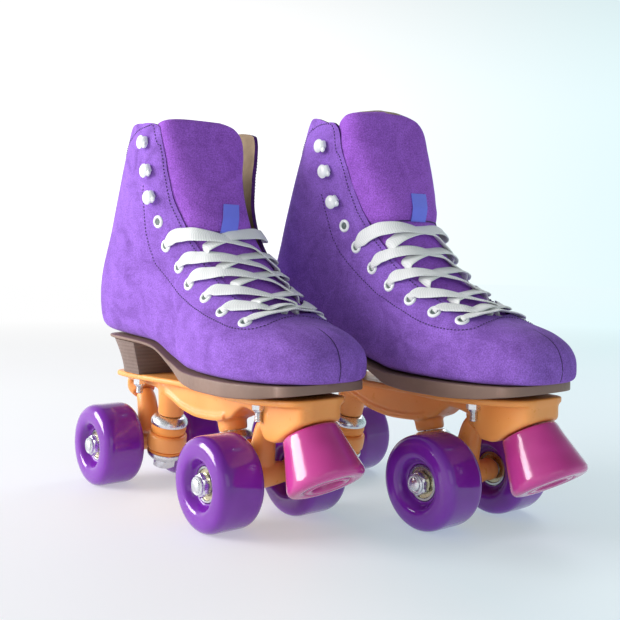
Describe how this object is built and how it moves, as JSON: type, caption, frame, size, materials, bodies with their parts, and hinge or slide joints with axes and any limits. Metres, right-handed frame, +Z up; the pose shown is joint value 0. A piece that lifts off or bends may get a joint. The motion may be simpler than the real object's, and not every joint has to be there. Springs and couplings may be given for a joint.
{
  "type": "quad roller skates",
  "caption": "Laced suede ankle boots on moulded plates with sprung steering trucks, free-spinning wheels on bearings and bolted toe stops.",
  "frame": {"origin": "on the floor at the middle of the pair's box", "axes": "+Z up from the floor, -Y towards the toes, +X towards the left skate (from the right foot to the left foot, seen from behind)"},
  "size_m": [0.2056, 0.3412, 0.2599],
  "materials": {
    "suede": "nubuck nap, matt",
    "tongue_suede": "padded suede, matt",
    "lace": "flat woven, matt",
    "sole": "moulded band with a satin edge",
    "heel": "stacked heel with a satin edge",
    "orange_nylon": "glossy moulded nylon",
    "cushion": "soft urethane, semi-gloss",
    "zinc": "zinc plated",
    "bearing": "steel with a yellowish shield",
    "wheel": "glossy cast urethane",
    "toe_stop": "glossy moulded rubber"
  },
  "bodies": {
    "right_skate": {"right_upper": "suede", "right_tongue": "tongue_suede", "right_laces": "lace", "right_sole": "sole", "right_heel": "heel", "right_plate": "orange_nylon", "right_toe_stop": "toe_stop", "right_toe_stop_bolt": "zinc", "right_front_kingpin": "zinc", "right_front_upper_cup": "zinc", "right_front_lower_cup": "zinc", "right_front_upper_cushion": "cushion", "right_front_lower_cushion": "cushion", "right_rear_kingpin": "zinc", "right_rear_upper_cup": "zinc", "right_rear_lower_cup": "zinc", "right_rear_upper_cushion": "cushion", "right_rear_lower_cushion": "cushion"},
    "right_front_truck": {"right_front_hanger": "orange_nylon", "right_front_axle": "zinc"},
    "right_front_outer_wheel": {"right_front_outer_wheel": "wheel", "right_front_outer_bearings": "bearing"},
    "right_front_inner_wheel": {"right_front_inner_wheel": "wheel", "right_front_inner_bearings": "bearing"},
    "right_rear_truck": {"right_rear_hanger": "orange_nylon", "right_rear_axle": "zinc"},
    "right_rear_outer_wheel": {"right_rear_outer_wheel": "wheel", "right_rear_outer_bearings": "bearing"},
    "right_rear_inner_wheel": {"right_rear_inner_wheel": "wheel", "right_rear_inner_bearings": "bearing"},
    "left_skate": {"left_upper": "suede", "left_tongue": "tongue_suede", "left_laces": "lace", "left_sole": "sole", "left_heel": "heel", "left_plate": "orange_nylon", "left_toe_stop": "toe_stop", "left_toe_stop_bolt": "zinc", "left_front_kingpin": "zinc", "left_front_upper_cup": "zinc", "left_front_lower_cup": "zinc", "left_front_upper_cushion": "cushion", "left_front_lower_cushion": "cushion", "left_rear_kingpin": "zinc", "left_rear_upper_cup": "zinc", "left_rear_lower_cup": "zinc", "left_rear_upper_cushion": "cushion", "left_rear_lower_cushion": "cushion"},
    "left_front_truck": {"left_front_hanger": "orange_nylon", "left_front_axle": "zinc"},
    "left_front_outer_wheel": {"left_front_outer_wheel": "wheel", "left_front_outer_bearings": "bearing"},
    "left_front_inner_wheel": {"left_front_inner_wheel": "wheel", "left_front_inner_bearings": "bearing"},
    "left_rear_truck": {"left_rear_hanger": "orange_nylon", "left_rear_axle": "zinc"},
    "left_rear_outer_wheel": {"left_rear_outer_wheel": "wheel", "left_rear_outer_bearings": "bearing"},
    "left_rear_inner_wheel": {"left_rear_inner_wheel": "wheel", "left_rear_inner_bearings": "bearing"}
  },
  "joints": [
    {"name": "pair_slide", "type": "slide", "parent": "right_skate", "child": "left_skate", "axis": [0, 1, 0], "range_m": [-0.15, 0.15]},
    {"name": "right_front_steer", "type": "hinge", "parent": "right_skate", "child": "right_front_truck", "pos_m": [-0.0535, 0.01287, 0.0325], "axis": [0, -0.7404, 0.6721], "range_deg": [-8, 8], "stiffness_Nm_per_rad": 14, "deforming": ["right_front_upper_cushion", "right_front_lower_cushion"]},
    {"name": "right_front_outer_spin", "type": "hinge", "parent": "right_front_truck", "child": "right_front_outer_wheel", "pos_m": [-0.08575, -0.01493, 0.029], "axis": [1, 0, 0], "continuous": true},
    {"name": "right_front_inner_spin", "type": "hinge", "parent": "right_front_truck", "child": "right_front_inner_wheel", "pos_m": [-0.02125, -0.01493, 0.029], "axis": [1, 0, 0], "continuous": true},
    {"name": "right_rear_steer", "type": "hinge", "parent": "right_skate", "child": "right_rear_truck", "pos_m": [-0.0535, 0.10367, 0.0325], "axis": [0, 0.7404, 0.6721], "range_deg": [-8, 8], "stiffness_Nm_per_rad": 14, "deforming": ["right_rear_upper_cushion", "right_rear_lower_cushion"]},
    {"name": "right_rear_outer_spin", "type": "hinge", "parent": "right_rear_truck", "child": "right_rear_outer_wheel", "pos_m": [-0.08575, 0.13147, 0.029], "axis": [1, 0, 0], "continuous": true},
    {"name": "right_rear_inner_spin", "type": "hinge", "parent": "right_rear_truck", "child": "right_rear_inner_wheel", "pos_m": [-0.02125, 0.13147, 0.029], "axis": [1, 0, 0], "continuous": true},
    {"name": "left_front_steer", "type": "hinge", "parent": "left_skate", "child": "left_front_truck", "pos_m": [0.0535, -0.06103, 0.0325], "axis": [0, -0.7404, 0.6721], "range_deg": [-8, 8], "stiffness_Nm_per_rad": 14, "deforming": ["left_front_upper_cushion", "left_front_lower_cushion"]},
    {"name": "left_front_outer_spin", "type": "hinge", "parent": "left_front_truck", "child": "left_front_outer_wheel", "pos_m": [0.08575, -0.08883, 0.029], "axis": [1, 0, 0], "continuous": true},
    {"name": "left_front_inner_spin", "type": "hinge", "parent": "left_front_truck", "child": "left_front_inner_wheel", "pos_m": [0.02125, -0.08883, 0.029], "axis": [1, 0, 0], "continuous": true},
    {"name": "left_rear_steer", "type": "hinge", "parent": "left_skate", "child": "left_rear_truck", "pos_m": [0.0535, 0.02977, 0.0325], "axis": [0, 0.7404, 0.6721], "range_deg": [-8, 8], "stiffness_Nm_per_rad": 14, "deforming": ["left_rear_upper_cushion", "left_rear_lower_cushion"]},
    {"name": "left_rear_outer_spin", "type": "hinge", "parent": "left_rear_truck", "child": "left_rear_outer_wheel", "pos_m": [0.08575, 0.05757, 0.029], "axis": [1, 0, 0], "continuous": true},
    {"name": "left_rear_inner_spin", "type": "hinge", "parent": "left_rear_truck", "child": "left_rear_inner_wheel", "pos_m": [0.02125, 0.05757, 0.029], "axis": [1, 0, 0], "continuous": true}
  ]
}
